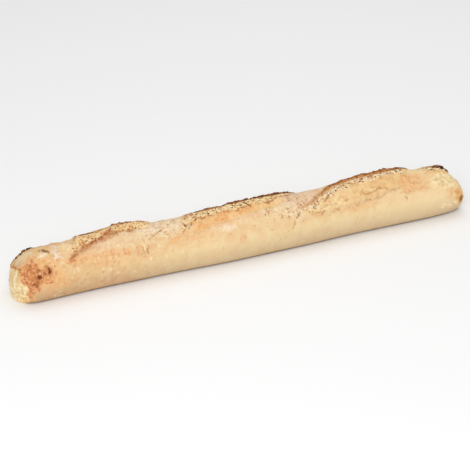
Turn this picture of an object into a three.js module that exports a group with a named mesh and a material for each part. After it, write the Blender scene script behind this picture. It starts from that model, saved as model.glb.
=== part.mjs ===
// Sourdough baguette: one slim hand-shaped loaf with a flat base, two blunt heels and slanting cuts
// along the crown that burst open in the oven. Each cut has a lower lip on the near side, a bulging
// band of torn dough, and a raised ear of crust along its far side.
//
// Millimetres, +Z up. The loaf lies along X, its near side faces -Y, and the origin is on the base,
// under the middle of the loaf.
import * as THREE from "three";
import { mergeVertices } from "three/addons/utils/BufferGeometryUtils.js";

const { clamp, degToRad, lerp, radToDeg, smoothstep } = THREE.MathUtils;

// Driving dimensions of the loaf, in millimetres.
const LENGTH = 540; // heel to heel
const WIDTH = 60; // across the belly
const HEIGHT = 51; // base to crown, where no cut lifts the crust
const BELLY_HEIGHT = 24; // height of the widest line above the base
const BASE_WIDTH = 38; // flat strip that the loaf was baked on
const BASE_EDGE = 3; // height over which the side rounds into the base
const SWAY = 1.2; // sideways wander of the loaf's middle line
const SWAY_BENDS = 3; // half waves of that wander
const UNEVENNESS = 0.6; // depth of the hollows and swellings left by shaping

// The heels. length is the stretch over which an end rounds off, and tipHeight is where its tip lies
// above the base. A bluntness of 2 makes a round end, and more makes a flatter one. droop is how far
// the crown sinks at the tip, over its own stretch.
const LEFT_HEEL = { length: 32, tipHeight: 5, bluntness: 2.8, droop: 6.6, droopLength: 57 };
const RIGHT_HEEL = { length: 40, tipHeight: 10, bluntness: 4, droop: 9.5, droopLength: 44 };
const RIGHT_LIFT = 7; // how far the underside curves up at the right tip
const RIGHT_LIFT_LENGTH = 54;

// Waves of the unevenness: length along the loaf, share of the depth, and how far a wave is shifted
// round the loaf and from the start, in radians.
const WAVES = [
  { length: 260, share: 0.65, twist: 1.7, start: 0 },
  { length: 105, share: 0.35, twist: -1.2, start: 0.9 },
];

// The cuts, from left to right. left and right are the ends of a cut, measured from the left heel.
// rise is the ear's height, and peak is the share of the cut's length where it is highest. lipLeft
// and lipRight place the ends of the lower lip, in degrees from the crown towards the near side, and
// bow is how far the lip's middle sags. ear is where the far side's ear comes to lie, and swing is
// the share of the cut over which it swings out there.
const CUTS = [
  {
    left: 56, right: 165, rise: 5, peak: 0.67,
    lipLeft: 50, lipRight: 12, bow: -26, ear: -34, swing: 0.25,
  },
  {
    left: 172, right: 338, rise: 5.2, peak: 0.67,
    lipLeft: 54, lipRight: 10, bow: -2, ear: -34, swing: 0.24,
  },
  {
    left: 326, right: 484, rise: 7, peak: 0.76,
    lipLeft: 50, lipRight: 24, bow: 15, ear: -28, swing: 0.42,
  },
  {
    left: 486, right: 531, rise: 5.9, peak: 0.8,
    lipLeft: 30, lipRight: 38, bow: 0, ear: -16, swing: 0.3,
  },
];
const CLOSING = 0.88; // share of a cut's length after which the lip turns up to meet the ear
const FULLNESS = 0.8; // below 1, a cut stays high towards its ends
const EAR_TAIL = 14; // width of the slope from an ear down to the far side
const LIP_TAIL = 7; // width of the low roll of crust outside a lip

// Height of a cut's surface from its lip (0) to its ear (1), as a share of the rise: a groove under
// the lip, a swelling band of dough, a crease and then the ear's crest.
const BAND = [
  [0, 0.05],
  [0.07, -0.12],
  [0.4, 0.4],
  [0.78, 0.72],
  [0.92, 0.62],
  [1, 1],
];

// Bumps of torn dough inside a cut. They wander, so that no two rows of them line up.
const CRAG_DEPTH = 1;
const CRAG_LENGTH = 12; // from bump to bump along the loaf
const CRAG_WIDTH = 10; // and across the cut
const CRAG_WANDER = 1.8; // in radians
const WANDER_LENGTH = 23;
const TORN_FROM = 0.15; // where the torn dough starts between the lip and the ear
const TORN_FULL = 0.5;
const TORN_TO = 0.9;

// Mesh lines. The rows run round the loaf. The columns run along it and follow the base's edges, the
// cuts' lines and the ears: COLUMNS counts them for half the base, the near side, the open cuts, the
// far side and the other half of the base.
const COLUMNS = [4, 9, 14, 9, 4];
const AROUND = COLUMNS.reduce((sum, count) => sum + count, 0);
const HEEL_ROWS = 8;
const BODY_ROWS = 120;
const ALONG = BODY_ROWS + 2 * HEEL_ROWS;
const LEAST_OPENING = 24; // degrees that the open columns keep where a cut is shut
const JUNCTION = 16; // half the length over which columns pass from one cut to the next
const MERGE_DISTANCE = 1e-4;

// Sizes that follow from the driving dimensions.
const HALF_WIDTH = WIDTH / 2;
const CROWN = HEIGHT - BELLY_HEIGHT;
const KEEL = (BELLY_HEIGHT + BASE_EDGE) / Math.sqrt(1 - (BASE_WIDTH / WIDTH) ** 2);
const BASE_TURN = 180 - radToDeg(Math.asin(BASE_WIDTH / WIDTH));
const MILLIMETRES_PER_DEGREE = degToRad(CROWN);

// Angle that a distance covers on a wave of the given length.
function phase(distance, length) {
  return (2 * Math.PI * distance) / length;
}

// Smooth height at a place along a list of [place, height] knots.
function heightBetween(knots, place) {
  const next = clamp(knots.findIndex(([knot]) => knot > place), 1, knots.length - 1);
  const [from, low] = knots[next - 1];
  const [to, high] = knots[next];
  return lerp(low, high, smoothstep(place, from, to));
}

// Angles of a cut's line, lip and ear at a distance from the left heel, and its swell from 0 to 1.
// The lip keeps to the line that the blade drew, and leaves it only where the cut closes.
function cutAt(cut, distance) {
  const along = clamp((distance - cut.left) / (cut.right - cut.left), 0, 1);
  const line = lerp(cut.lipLeft, cut.lipRight, along) + 4 * cut.bow * along * (1 - along);
  const ear = lerp(line, cut.ear, smoothstep(along, 0, cut.swing));
  const lip = lerp(line, ear, smoothstep(along, CLOSING, 1));
  const skew = Math.log(0.5) / Math.log(cut.peak);
  const swell = lip > ear ? Math.sin(Math.PI * along ** skew) : 0;
  return { line, lip, ear, swell };
}

// Bumps of torn dough, from -1 to 1, at a distance from the left heel and inward from the lip.
function crag(distance, inward) {
  const lengthways = phase(distance, CRAG_LENGTH) + CRAG_WANDER * Math.sin(phase(inward, WANDER_LENGTH));
  const crossways = phase(inward, CRAG_WIDTH) + CRAG_WANDER * Math.sin(phase(distance, WANDER_LENGTH));
  return Math.sin(lengthways) * Math.cos(crossways);
}

// Height that one cut adds to the plain loaf at an angle from the crown.
function cutRelief(cut, distance, angle) {
  const { lip, ear, swell } = cutAt(cut, distance);
  if (swell <= 0) return 0;
  const inward = (lip - angle) * MILLIMETRES_PER_DEGREE;
  const width = (lip - ear) * MILLIMETRES_PER_DEGREE;
  const lift = cut.rise * swell ** FULLNESS;
  if (inward < 0) return lift * BAND[0][1] * (1 - smoothstep(-inward, 0, LIP_TAIL));
  if (inward > width) return lift * (1 - smoothstep(inward - width, 0, EAR_TAIL));
  const place = inward / width;
  const torn = smoothstep(place, TORN_FROM, TORN_FULL) * (1 - smoothstep(place, TORN_TO, 1));
  return lift * heightBetween(BAND, place) + CRAG_DEPTH * swell * torn * crag(distance, inward);
}

// Shallow swellings and hollows left by shaping the dough by hand.
function unevenness(distance, turn) {
  const waves = WAVES.map((wave) => {
    const shift = wave.start + wave.twist * Math.sin(turn);
    return wave.share * Math.sin(phase(distance, wave.length) + shift);
  });
  return UNEVENNESS * waves.reduce((sum, wave) => sum + wave, 0);
}

// Line and ear that the columns follow. Where one cut ends and the next starts, they swing across.
function columnGuides(distance) {
  const guides = CUTS.map((cut) => {
    const { line, ear } = cutAt(cut, distance);
    return { line, ear: Math.min(ear, line - LEAST_OPENING) };
  });
  let { line, ear } = guides[0];
  for (let next = 1; next < CUTS.length; next++) {
    const junction = (CUTS[next - 1].right + CUTS[next].left) / 2;
    const swing = smoothstep(distance, junction - JUNCTION, junction + JUNCTION);
    line = lerp(line, guides[next].line, swing);
    ear = lerp(ear, guides[next].ear, swing);
  }
  return { line, ear };
}

// Angle of a column from the crown, in degrees: from under the base, up the near side and over.
function columnAngle(column, distance) {
  const { line, ear } = columnGuides(distance);
  const stops = [180, BASE_TURN, line, ear, -BASE_TURN, -180];
  let passed = column;
  let stretch = 0;
  while (passed > COLUMNS[stretch]) {
    passed -= COLUMNS[stretch];
    stretch += 1;
  }
  return lerp(stops[stretch], stops[stretch + 1], passed / COLUMNS[stretch]);
}

// How far a heel's row lies from the tip, and its share of the full section. A heel is a quarter of
// a superellipse.
function heelPlace(row, heel) {
  const turn = (row / HEEL_ROWS) * (Math.PI / 2);
  const power = 2 / heel.bluntness;
  return { depth: heel.length * (1 - Math.cos(turn) ** power), share: Math.sin(turn) ** power };
}

// How far the crown has sunk towards a heel, at a distance from its tip.
function sunk(distance, heel) {
  return heel.droop * (1 - smoothstep(distance, 0, heel.droopLength));
}

// How far the underside has lifted towards the right heel, at a distance from its tip.
function lifted(distance) {
  return RIGHT_LIFT * (1 - smoothstep(distance, 0, RIGHT_LIFT_LENGTH));
}

// Distance of a row from the left heel, and its share of the full section.
function rowPlace(row) {
  const fromRight = ALONG - row;
  if (row < HEEL_ROWS) {
    const { depth, share } = heelPlace(row, LEFT_HEEL);
    return { distance: depth, share };
  }
  if (fromRight < HEEL_ROWS) {
    const { depth, share } = heelPlace(fromRight, RIGHT_HEEL);
    return { distance: LENGTH - depth, share };
  }
  const passed = (row - HEEL_ROWS) / BODY_ROWS;
  return { distance: lerp(LEFT_HEEL.length, LENGTH - RIGHT_HEEL.length, passed), share: 1 };
}

// The base plane stops the section, with a rounded edge where the side meets it.
function restOnBase(z) {
  if (z >= BASE_EDGE) return z;
  return Math.max(z + BASE_EDGE, 0) ** 2 / (4 * BASE_EDGE);
}

// Point of the crust at a column and a row.
function crustPoint(column, row) {
  const { distance, share } = rowPlace(row);
  const angle = columnAngle(column, distance);
  const turn = degToRad(angle);
  const cuts = CUTS.reduce((sum, cut) => sum + cutRelief(cut, distance, angle), 0);
  const relief = cuts + unevenness(distance, turn);
  const up = Math.cos(turn);
  const crown = CROWN - sunk(distance, LEFT_HEEL) - sunk(LENGTH - distance, RIGHT_HEEL);
  const reach = up > 0 ? crown : KEEL - lifted(LENGTH - distance);
  const { tipHeight } = distance < LENGTH / 2 ? LEFT_HEEL : RIGHT_HEEL;
  const middle = lerp(tipHeight, BELLY_HEIGHT, share);
  const sway = SWAY * Math.sin(SWAY_BENDS * Math.PI * (distance / LENGTH));
  return new THREE.Vector3(
    distance - LENGTH / 2,
    sway - share * Math.sin(turn) * (HALF_WIDTH + relief),
    restOnBase(middle + share * up * (reach + relief)),
  );
}

// The crust: a sphere's grid of columns and rows, with its poles at the tips of the heels.
function crustGeometry() {
  const sphere = new THREE.SphereGeometry(1, AROUND, ALONG);
  const position = sphere.getAttribute("position");
  const uv = sphere.getAttribute("uv");
  for (let i = 0; i < position.count; i++) {
    const column = AROUND * uv.getX(i);
    const row = Math.round(ALONG * (1 - uv.getY(i)));
    const point = crustPoint(column, row);
    position.setXYZ(i, point.x, point.y, point.z);
  }
  sphere.deleteAttribute("normal");
  sphere.deleteAttribute("uv");
  const closed = mergeVertices(sphere, MERGE_DISTANCE);
  closed.computeVertexNormals();
  return closed;
}

const crust = new THREE.MeshStandardMaterial({ color: 0xe6c089, roughness: 0.82, metalness: 0 });

const loaf = new THREE.Mesh(crustGeometry(), crust);
loaf.name = "loaf";

const baguette = new THREE.Group();
baguette.add(loaf);

export default baguette;
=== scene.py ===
# %% [markdown]
# # A sourdough baguette
# A baguette is a slim loaf, rolled by hand, cut along its crown and baked on a hot stone. Where the
# blade went in, the dough bursts open in the oven: one side of the cut stays as a lip, the dough
# between tears into a craggy band, and the other side lifts into an ear with a dark, dry edge.
#
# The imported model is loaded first. It is the frame: metres, +X along the loaf, the near side towards
# -Y, the origin on the base under the middle. Everything below is made to fit it.

# %% Load the frame
import math
import random

import bmesh
import bpy
import numpy as np
from mathutils import Matrix, Vector, kdtree, noise


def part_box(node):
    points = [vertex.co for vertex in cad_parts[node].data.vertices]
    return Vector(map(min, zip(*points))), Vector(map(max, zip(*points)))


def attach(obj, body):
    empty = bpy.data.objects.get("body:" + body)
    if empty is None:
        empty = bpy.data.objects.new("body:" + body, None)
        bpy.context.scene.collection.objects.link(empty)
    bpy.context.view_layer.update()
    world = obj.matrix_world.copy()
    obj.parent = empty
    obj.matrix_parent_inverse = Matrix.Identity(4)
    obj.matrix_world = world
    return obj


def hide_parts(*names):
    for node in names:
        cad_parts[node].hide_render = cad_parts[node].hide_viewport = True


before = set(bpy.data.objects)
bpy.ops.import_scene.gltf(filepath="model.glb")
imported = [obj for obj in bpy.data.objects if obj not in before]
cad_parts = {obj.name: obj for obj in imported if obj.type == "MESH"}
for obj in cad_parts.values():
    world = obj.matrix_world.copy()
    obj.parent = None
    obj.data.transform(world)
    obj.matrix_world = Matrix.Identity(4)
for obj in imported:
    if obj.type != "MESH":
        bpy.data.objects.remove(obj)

NOISE_SEED = 7  # without one, vector noise is different in each run
noise.seed_set(NOISE_SEED)

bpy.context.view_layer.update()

# %% [markdown]
# ## The plain loaf
# Before any cut, the loaf is a roll: an oval section, flattened underneath where it lay on the stone,
# and rounded off at both heels. A lathe or a stretched ball would give a perfect form, but dough is
# never that even. So the roll is worked out from a few sizes, and slow waves make it uneven.

# %% Sizes of the plain loaf, in metres
node_low, node_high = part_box("loaf")
LENGTH = node_high.x - node_low.x  # heel to heel
WIDTH = 0.060  # across the belly
HEIGHT = 0.051  # base to crown, where no cut lifts the crust
BELLY_HEIGHT = 0.024  # height of the widest line
BASE_WIDTH = 0.038  # flat strip under the loaf
BASE_EDGE = 0.003  # height over which the side rounds into the base
SWAY = 0.0012  # sideways wander of the middle line
SWAY_BENDS = 3
UNEVENNESS = 0.0006  # depth of the hollows left by shaping
WAVES = [  # length, share of the depth, shift round the loaf, shift from the start
    (0.260, 0.65, 1.7, 0.0),
    (0.105, 0.35, -1.2, 0.9),
]

# A heel rounds off over its length. A bluntness of 2 is round and more is flatter. droop is how far
# the crown sinks at the tip.
LEFT_HEEL = dict(length=0.032, tip_height=0.005, bluntness=2.8, droop=0.0066, droop_length=0.057)
RIGHT_HEEL = dict(length=0.040, tip_height=0.010, bluntness=4.0, droop=0.0095, droop_length=0.044)
RIGHT_LIFT = 0.007  # how far the underside curves up at the right tip
RIGHT_LIFT_LENGTH = 0.054

HALF_WIDTH = WIDTH / 2
CROWN = HEIGHT - BELLY_HEIGHT
KEEL = (BELLY_HEIGHT + BASE_EDGE) / math.sqrt(1 - (BASE_WIDTH / WIDTH) ** 2)
BASE_TURN = 180 - math.degrees(math.asin(BASE_WIDTH / WIDTH))
ARC = math.radians(CROWN)  # metres of crust for one degree round the crown
print(f"Loaf {LENGTH:.3f} m long; its base ends {BASE_TURN:.0f} degrees from the crown")

# %% Blending helpers
def mix(a, b, share):
    return a + (b - a) * share


def smooth_step(value, start, end):
    """0 before start, 1 after end, and a soft S between them."""
    passed = np.clip((value - start) / (end - start), 0, 1)
    return passed * passed * (3 - 2 * passed)


def bell(away, width):
    """1 on a line, fading to both sides of it over about the width."""
    return np.exp(-((away / width) ** 2))


print("Half-way up a smooth step:", smooth_step(0.5, 0, 1))

# %% [markdown]
# ## The cuts
# A baker draws each cut as one long slanting stroke. Its lower lip starts well down the near side and
# climbs towards the crown. The ear starts at the same point and swings over to the far side, so the
# opening is a long leaf shape. A few numbers give each cut, in metres along the loaf and in degrees
# from the crown, and functions turn them into lines.

# %% The cuts, from left to right
def each_cut(columns):
    """A dictionary for each cut, from one that holds a value for every cut under each name."""
    return [dict(zip(columns, values)) for values in zip(*columns.values())]


CUTS = each_cut(dict(
    left=(0.056, 0.172, 0.326, 0.486),  # where a cut starts
    right=(0.165, 0.338, 0.484, 0.531),  # and ends
    rise=(0.0050, 0.0052, 0.0070, 0.0048),  # height of its ear
    peak=(0.67, 0.67, 0.76, 0.80),  # share of its length where the ear is highest
    lip_left=(50, 54, 56, 30),  # angle at which the blade's line starts
    lip_right=(12, 10, 24, 38),  # and ends
    bow=(-26, -2, 13, 0),  # how far that line bends
    ear=(-34, -34, -28, -16),  # angle to which the ear swings over
    swing=(0.25, 0.24, 0.46, 0.30),  # share of the length over which it does
    blunt=(0.0, 0.0, 0.25, 0.0),  # share of the swing at the very tip, where others have a point
))
print(len(CUTS), "cuts, the longest", max(cut["right"] - cut["left"] for cut in CUTS), "m")

# %% Lines of a cut
CLOSING = 0.88  # share of a cut's length after which the lip turns up to meet the ear
RAGGED_LINES = [(0.016, 6.0), (0.0055, 2.2), (0.0024, 0.8)]  # size of a wave, and its stray in degrees
EAR_SEED = 5  # added to a cut's seed, so that ear and lip don't stray alike


def stray_along(distance, waves, seed):
    """A torn edge never runs true: how far it strays at each distance, as a sum of waves of noise."""
    strays = [
        stray * np.array([noise.noise(Vector((d / size, seed, 0))) for d in distance])
        for size, stray in waves
    ]
    return np.sum(strays, axis=0)


def along_cut(cut, distance):
    """Share of a cut's length that lies to the left of a distance."""
    return np.clip((distance - cut["left"]) / (cut["right"] - cut["left"]), 0, 1)


def cut_lines(cut, distance, seed):
    """Angles of the blade's line, the lip and the ear, and the swell from 0 to 1."""
    along = along_cut(cut, distance)
    line = mix(cut["lip_left"], cut["lip_right"], along) + 4 * cut["bow"] * along * (1 - along)
    line = line + stray_along(distance, RAGGED_LINES, seed)
    swung = mix(cut["blunt"], 1, smooth_step(along, 0, cut["swing"]))
    ear = mix(line, cut["ear"] + stray_along(distance, RAGGED_LINES, seed + EAR_SEED), swung)
    lip = mix(line, ear, smooth_step(along, CLOSING, 1))
    skew = math.log(0.5) / math.log(cut["peak"])
    swell = np.where(lip > ear, np.sin(math.pi * along**skew), 0)
    return line, lip, ear, swell


line, lip, ear, swell = cut_lines(CUTS[1], np.array([0.255]), 1)
print(f"The second cut half-way along: lip {lip[0]:.0f} degrees, ear {ear[0]:.0f} degrees")

# %% [markdown]
# ## A grid that follows the cuts
# Any ball can become a loaf: a UV sphere has its two poles for the heels, rings round it for rows and
# meridians for columns. Only the vertices move, so the mesh stays closed and all quads but for the
# poles. The rows are spread along the loaf, and the columns are crowded where the detail is: they
# follow the base's two edges, each cut's line and its ear, so that every torn edge lies on an edge of
# the mesh.

# %% A ball with a row and a column for each vertex
COLUMNS = [6, 34, 72, 32, 6]  # base, near side, open cuts, far side, base
AROUND = sum(COLUMNS)
HEEL_ROWS = 56
BODY_ROWS = 548
ALONG = BODY_ROWS + 2 * HEEL_ROWS

ball = bmesh.new()
bmesh.ops.create_uvsphere(ball, u_segments=AROUND, v_segments=ALONG, radius=1)
ball.verts.ensure_lookup_table()
on_ball = np.array([vert.co for vert in ball.verts])
row = np.rint(ALONG * np.arccos(np.clip(on_ball[:, 2], -1, 1)) / math.pi).astype(int)
meridian = np.arctan2(on_ball[:, 1], on_ball[:, 0]) / (2 * math.pi) % 1
column = np.rint(AROUND * meridian).astype(int) % AROUND
print(len(ball.verts), "vertices in", ALONG + 1, "rows and", AROUND, "columns")

# %% Rows: distance from the left heel, and share of the full section
CURVE_STEPS = 2000  # points at which a heel's curve is measured


def heel_place(step, heel):
    """A heel is a quarter of a superellipse. Its rows are spread evenly along that curve."""
    turn = np.linspace(0, math.pi / 2, CURVE_STEPS)
    power = 2 / heel["bluntness"]
    depth = heel["length"] * (1 - np.maximum(np.cos(turn), 0) ** power)
    part = np.sin(turn) ** power
    passed = np.hypot(np.diff(depth), HALF_WIDTH * np.diff(part)).cumsum()
    passed = np.insert(passed, 0, 0) / passed[-1]
    here = np.clip(step / HEEL_ROWS, 0, 1)
    return np.interp(here, passed, depth), np.interp(here, passed, part)


rows = np.arange(ALONG + 1)
left_depth, left_share = heel_place(rows, LEFT_HEEL)
right_depth, right_share = heel_place(ALONG - rows, RIGHT_HEEL)
body = np.clip((rows - HEEL_ROWS) / BODY_ROWS, 0, 1)
row_distance = mix(left_depth, LENGTH - right_depth, body)
row_share = left_share * right_share
print(f"Body rows are {(row_distance[ALONG // 2 + 1] - row_distance[ALONG // 2]) * 1000:.2f} mm apart")

# %% Columns: angle from the crown
LEAST_OPENING = 24  # degrees that the open columns keep where a cut is shut
JUNCTION = 0.016  # half the length over which columns pass from one cut to the next

row_cuts = [cut_lines(cut, row_distance, 10 * number) for number, cut in enumerate(CUTS)]
guide_line = row_cuts[0][0]
guide_ear = np.minimum(row_cuts[0][2], guide_line - LEAST_OPENING)
for before, after, (line, lip, ear, swell) in zip(CUTS, CUTS[1:], row_cuts[1:]):
    junction = (before["right"] + after["left"]) / 2
    swing = smooth_step(row_distance, junction - JUNCTION, junction + JUNCTION)
    guide_line = mix(guide_line, line, swing)
    guide_ear = mix(guide_ear, np.minimum(ear, line - LEAST_OPENING), swing)

stops = [180, BASE_TURN, guide_line, guide_ear, -BASE_TURN, -180]
stretches = []
for count, start, end in zip(COLUMNS, stops, stops[1:]):
    start, end = (np.broadcast_to(stop, ALONG + 1)[:, None] for stop in (start, end))
    stretches.append(mix(start, end, np.arange(count) / count))
distance = row_distance[row]
share = row_share[row]
angle = np.hstack(stretches)[row, column]
print(f"Columns run from {angle.max():.0f} to {angle.min():.0f} degrees round the loaf")

# %% [markdown]
# ## Lips, bands and ears
# Seen across a cut, the crust rolls a little outside the lip, drops into a groove, swells over the
# torn dough, dips into a crease and climbs the ear. That profile is the list BAND, as shares of the
# ear's rise. A real ear also leans back over the band like a wave, which no height alone can give, so
# the vertices at its crest are turned a few degrees towards the lip as well.

# %% Height of a cut's profile
BAND = [(0, 0.05), (0.07, -0.12), (0.4, 0.4), (0.78, 0.72), (0.92, 0.62), (1, 1)]  # lip to ear


def height_between(knots, place):
    """Smooth height at a place along a list of (place, height) knots."""
    height = np.full_like(place, knots[0][1])
    for (start, low), (end, high) in zip(knots, knots[1:]):
        height = np.where(place > start, mix(low, high, smooth_step(place, start, end)), height)
    return height


half_way = height_between(BAND, np.array([0.5]))[0]
print(f"Half-way between lip and ear the dough has {half_way:.2f} of the rise")

# %% How each cut baked, from left to right
FINISH = each_cut(dict(
    opens=(0.20, 0.30, 0.05, 0.40),  # share of the length over which the band comes into view
    dries=((0.10, 0.26), (0.12, 0.28), (-0.06, 0.24), (0.20, 0.60)),  # where the ear dries and leans
    sag=(0.6, 0.0, 0.0, 0.0),  # share of its rise that the ear lost at one place
    groove=(1.0, 0.1, 0.35, 0.3),  # share of the full groove inside the lip
    lip_brown=(1.0, 0.15, 0.60, 0.2),  # strength of the brown line along the lip
    lip_width=(0.0030, 0.0016, 0.0022, 0.0013),
    browned=(0.30, 1.0, 0.2, 0.2),  # how toasted the smooth dough is
    grain_from=(0.05, 0.40, 0.59, 0.55),  # share of the way from lip to ear where it turns grainy
    seam=(0.0, 0.9, 0.6, 0.3),  # strength of the crease there
    burst=(0.07, 0.24, 0.30, 0.14),  # share of bubbles that broke
    dusty=(0.0, 0.15, 0.9, 0.6),  # how floury the grains are
    scorch_from=(0.78, 0.84, 0.74, 0.86),  # share of the way from lip to ear where the ear browns
    dark=(0.0016, 0.0018, 0.0012, 0.0012),  # depth of the burnt line on the ear's inner face
))
print("The ears dry from", [finish["dries"][0] for finish in FINISH], "of their cuts' lengths")

# %% Relief of all the cuts
FULLNESS = 0.8  # below 1, a cut stays high towards its ends
LIP_TAIL = 0.007  # width of the low roll of crust outside a lip
EAR_TAIL = 0.014  # width of the slope from an ear down to the far side
EAR_LEAN = 0.0026  # how far an ear's crest leans back over the band
LEAN_SWELL = 0.3  # swell at which it leans in full
CREST_FRONT = 0.0020  # width of the crest that leans, on the band's side
CREST_BACK = 0.0040  # and on the far side
CREST_OVER = 1.12  # a crest stands this much of the rise, before its notches
CREST_NOTCHES = [(0.0170, 0.26), (0.0070, 0.20), (0.0026, 0.14)]  # size, and share of the rise
NOTCH_SEED = 50
SAG_AT = 0.38  # share of the length where an ear sags, if it does
SAG_WIDTH = 0.15
THINNEST = 1e-5  # least width of a cut, where it is shut


def blank(count):
    """That many marks, with 0 at every vertex."""
    return (np.zeros(len(angle)) for _ in range(count))


relief, lean, strand, place = blank(4)
opened = []
for number, (cut, lines, finish) in enumerate(zip(CUTS, row_cuts, FINISH)):
    line, lip, ear, swell = (values[row] for values in lines)
    inward = (lip - angle) * ARC
    width = np.maximum((lip - ear) * ARC, THINNEST)
    behind = inward - width
    across = inward / width
    along = along_cut(cut, distance)
    lift = cut["rise"] * swell**FULLNESS * (1 - finish["sag"] * bell(along - SAG_AT, SAG_WIDTH))
    notches = stray_along(row_distance, CREST_NOTCHES, NOTCH_SEED + number)
    crest_lift = lift * (CREST_OVER + notches[row])
    outside_lip = lift * BAND[0][1] * (1 - smooth_step(-inward, 0, LIP_TAIL))
    in_band = lift * height_between(BAND, across)
    in_band = np.where(in_band < 0, in_band * finish["groove"], in_band)
    in_band += (crest_lift - lift) * smooth_step(across, BAND[-2][0], 1)
    behind_ear = crest_lift * (1 - smooth_step(behind, 0, EAR_TAIL))
    profile = np.where(across <= 0, outside_lip, np.where(across < 1, in_band, behind_ear))
    relief += profile * (swell > 0)

    dry = smooth_step(along, *finish["dries"]) * (swell > 0)
    near_crest = bell(behind, np.where(behind < 0, CREST_FRONT, CREST_BACK))
    lean += EAR_LEAN * near_crest * dry * smooth_step(swell, 0, LEAN_SWELL)
    inside = (across > 0) & (across < 1) & (swell > 0)
    place = np.where(inside, across, place)
    strand = np.where(inside, inward, strand)
    opened.append(dict(
        finish=finish, inward=inward, width=width, behind=behind, across=across, along=along, dry=dry,
        inside=inside,
    ))
print(f"The highest ear stands {relief.max() * 1000:.1f} mm above the plain loaf")

# %% [markdown]
# ## From ball to loaf
# With a distance, an angle and a height for every vertex, the loaf is one formula: go along the
# middle line, turn to the angle, and step out to the crust. The base plane then stops the section,
# with a small rounded edge, as the stone stopped the dough.

# %% Points of the crust
def unevenness(distance, turn):
    """Shallow swellings and hollows left by shaping the dough by hand."""
    waves = [
        part * np.sin(2 * math.pi * distance / length + start + twist * np.sin(turn))
        for length, part, twist, start in WAVES
    ]
    return UNEVENNESS * np.sum(waves, axis=0)


def sunk(distance, heel):
    """How far the crown has sunk towards a heel, at a distance from its tip."""
    return heel["droop"] * (1 - smooth_step(distance, 0, heel["droop_length"]))


def rest_on_base(height):
    rounded = np.maximum(height + BASE_EDGE, 0) ** 2 / (4 * BASE_EDGE)
    return np.where(height >= BASE_EDGE, height, rounded)


def crust_points(angle, relief):
    turn = np.radians(angle)
    up = np.cos(turn)
    out = relief + unevenness(distance, turn)
    crown = CROWN - sunk(distance, LEFT_HEEL) - sunk(LENGTH - distance, RIGHT_HEEL)
    keel = KEEL - RIGHT_LIFT * (1 - smooth_step(LENGTH - distance, 0, RIGHT_LIFT_LENGTH))
    reach = np.where(up > 0, crown, keel)
    tip_height = np.where(distance < LENGTH / 2, LEFT_HEEL["tip_height"], RIGHT_HEEL["tip_height"])
    middle = mix(tip_height, BELLY_HEIGHT, share)
    sway = SWAY * np.sin(SWAY_BENDS * math.pi * distance / LENGTH)
    y = sway - share * np.sin(turn) * (HALF_WIDTH + out)
    z = rest_on_base(middle + share * up * (reach + out))
    return np.stack([distance - LENGTH / 2, y, z], axis=1)


def move_vertices(mesh, points):
    for vert, point in zip(mesh.verts, points):
        vert.co = point
    mesh.normal_update()


plain = crust_points(angle, np.zeros(len(angle)))
points = crust_points(angle + lean / ARC, relief)
move_vertices(ball, points)
bmesh.ops.recalc_face_normals(ball, faces=ball.faces)
ball.normal_update()
print(f"Loaf spans {np.ptp(points, axis=0).round(4)} m")

# %% [markdown]
# ## Noise and places
# Two kinds of helper shape all that follows. Noise gives what repeats without order: clouds for slow
# swellings, and pebbles for bubbled dough. Voronoi noise gives the pebbles: it knows the nearest and
# the next centre, and where both are equally far there is a crease. A number added to the points
# moves them to another part of the noise, so that no two effects share a pattern.
#
# Other marks belong to one place: a scorched spot, a floury patch, a crack. They are drawn in the
# crust's own coordinates, millimetres from the left heel and degrees from the crown, as if it were
# unrolled on a table. A patch is a ragged oval, and a streak follows a line of a few knots.

# %% Noise over the crust
PEBBLE_EDGE = 0.45  # how far from its crease a pebble has its full height


def cloud(points, size, octaves=3):
    """Cloudy noise, from about -1 to 1, with patches of the given size."""
    return np.array([noise.fractal(Vector(p) / size, 1.0, 2.0, octaves) for p in points])


def pebbles(points, size):
    """Height of pebbles, 0 in the creases and 1 on top, and each pebble's own chance from 0 to 1."""
    height = np.empty(len(points))
    chance = np.empty(len(points))
    for index, point in enumerate(points):
        (near, next_near, *_), centres = noise.voronoi(Vector(point) / size)
        height[index] = next_near - near
        chance[index] = 0.5 + 0.5 * noise.cell(centres[0] * 10)
    return smooth_step(height, 0, PEBBLE_EDGE), chance


def stirred(points, size, far):
    """Points moved about by slow noise, so that what is laid over them loses its order."""
    return points + far * np.array([noise.noise_vector(Vector(p) / size) for p in points])


print("Cloud at the left tip:", cloud(plain[:1], 0.01).round(3))

# %% Patches and streaks
MILLI = 0.001
PATCH_EDGE = (0.72, 1.12)  # shares of its radius between which a patch fades
PATCH_LIMIT = 2  # radii beyond which its edge isn't looked for
STREAK_LIMIT = 8  # millimetres beyond its knots where a streak isn't looked for


def patch(at_distance, at_angle, length, width, ragged_by=0.35, size=0.006):
    """1 inside a ragged oval, in millimetres, round a place on the crust, and 0 outside it."""
    along = (distance / MILLI - at_distance) / (length / 2)
    round_loaf = (angle - at_angle) * ARC / MILLI / (width / 2)
    away = np.hypot(along, round_loaf)
    near = np.flatnonzero(away < PATCH_LIMIT)
    edge = np.ones(len(angle))
    edge[near] += ragged_by * cloud(plain[near] + at_distance, size)
    return 1 - smooth_step(away, PATCH_EDGE[0] * edge, PATCH_EDGE[1] * edge)


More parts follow.
